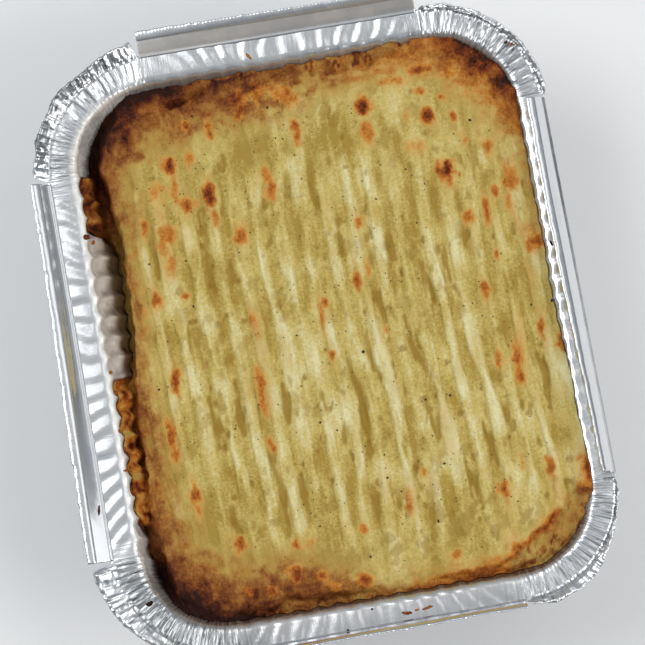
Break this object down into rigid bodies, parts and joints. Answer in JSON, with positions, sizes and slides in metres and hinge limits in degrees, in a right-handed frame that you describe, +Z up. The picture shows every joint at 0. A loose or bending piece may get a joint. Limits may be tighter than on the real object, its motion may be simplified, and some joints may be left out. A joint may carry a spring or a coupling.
{
  "type": "shepherd's pie in a foil tray",
  "caption": "Oblong baked pie with a fork-furrowed mashed potato top, in its own fluted foil tray with a flat ledge and hemmed lips.",
  "frame": {"origin": "centre of the tray's flat underside, on the table", "axes": "+Z up out of the tray, +Y along its long side, +X across it towards the lip that is still folded in"},
  "size_m": [0.1315, 0.158, 0.0438],
  "materials": {
    "foil": "bright rolled foil with soft dents, fine crimps at the corners and a few baked-on stains",
    "mash": "pale yellow baked mashed potato, moist, with orange to red-brown scorched ridges, dark crust at the edges and ground black pepper"
  },
  "bodies": {
    "root": {"foil_tray": "foil", "mash_topped_pie": "mash"}
  },
  "joints": []
}
